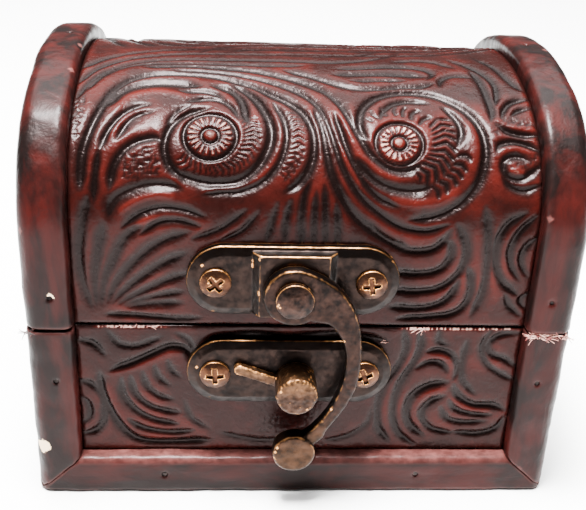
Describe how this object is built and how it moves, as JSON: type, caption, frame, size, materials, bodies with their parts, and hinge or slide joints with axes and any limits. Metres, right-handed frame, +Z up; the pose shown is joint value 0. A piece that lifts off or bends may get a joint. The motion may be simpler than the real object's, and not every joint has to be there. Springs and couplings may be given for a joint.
{
  "type": "tabernacle box",
  "caption": "Small barrel-top wooden box under tooled oxblood leather, with rounded leather-wrapped rails, a hinged domed lid and an antique brass swing-hook hasp.",
  "frame": {"origin": "on the flat underside, in the middle of the width and of the depth over the rails, without hasp and hinges", "axes": "+Z up; -Y out of the front, where the hasp is; +X to the right of someone who faces the hasp"},
  "size_m": [0.08, 0.0675, 0.0645],
  "materials": {
    "wood": "raw board",
    "tooled_leather": "tooled, oxblood rubbed over black",
    "rail_leather": "smooth, dark oxblood, rubbed at the edges",
    "lining_cloth": "short flock",
    "antique_brass": "antique, dark, bright at the edges",
    "screw_brass": "satin",
    "steel": "plain wire"
  },
  "bodies": {
    "base": {"bottom_board": "wood", "front_board": "wood", "back_board": "wood", "left_board": "wood", "right_board": "wood", "base_front_leather": "tooled_leather", "base_back_leather": "tooled_leather", "base_left_leather": "tooled_leather", "base_right_leather": "tooled_leather", "corner_post_front_left": "rail_leather", "corner_post_front_right": "rail_leather", "corner_post_back_left": "rail_leather", "corner_post_back_right": "rail_leather", "foot_rail_front": "rail_leather", "foot_rail_back": "rail_leather", "foot_rail_left": "rail_leather", "foot_rail_right": "rail_leather", "base_lining": "lining_cloth", "catch_plate": "antique_brass", "catch_stud": "antique_brass", "hinge_leaf_base_left": "antique_brass", "hinge_leaf_base_right": "antique_brass", "catch_plate_screws": "screw_brass", "hinge_screws_base": "screw_brass", "hinge_pin_left": "steel", "hinge_pin_right": "steel", "rail_brads": "steel"},
    "lid": {"lid_barrel": "wood", "lid_end_left": "wood", "lid_end_right": "wood", "lid_leather": "tooled_leather", "lid_end_leather_left": "tooled_leather", "lid_end_leather_right": "tooled_leather", "hoop_left": "rail_leather", "hoop_right": "rail_leather", "hoop_brads": "steel", "lid_lining": "lining_cloth", "hook_plate": "antique_brass", "hook_rivet": "antique_brass", "hook_plate_screws": "screw_brass", "hinge_leaf_lid_left": "antique_brass", "hinge_leaf_lid_right": "antique_brass", "hinge_screws_lid": "screw_brass"},
    "hook": {"swing_hook": "antique_brass"}
  },
  "joints": [
    {"name": "lid_hinge", "type": "hinge", "parent": "base", "child": "lid", "pos_m": [0, 0.0304, 0.029], "axis": [-1, 0, 0], "range_deg": [0, 100]},
    {"name": "hook_swing", "type": "hinge", "parent": "lid", "child": "hook", "pos_m": [-0.00165, -0.033, 0.0363], "axis": [0, -1, 0], "range_deg": [-10, 296]}
  ]
}
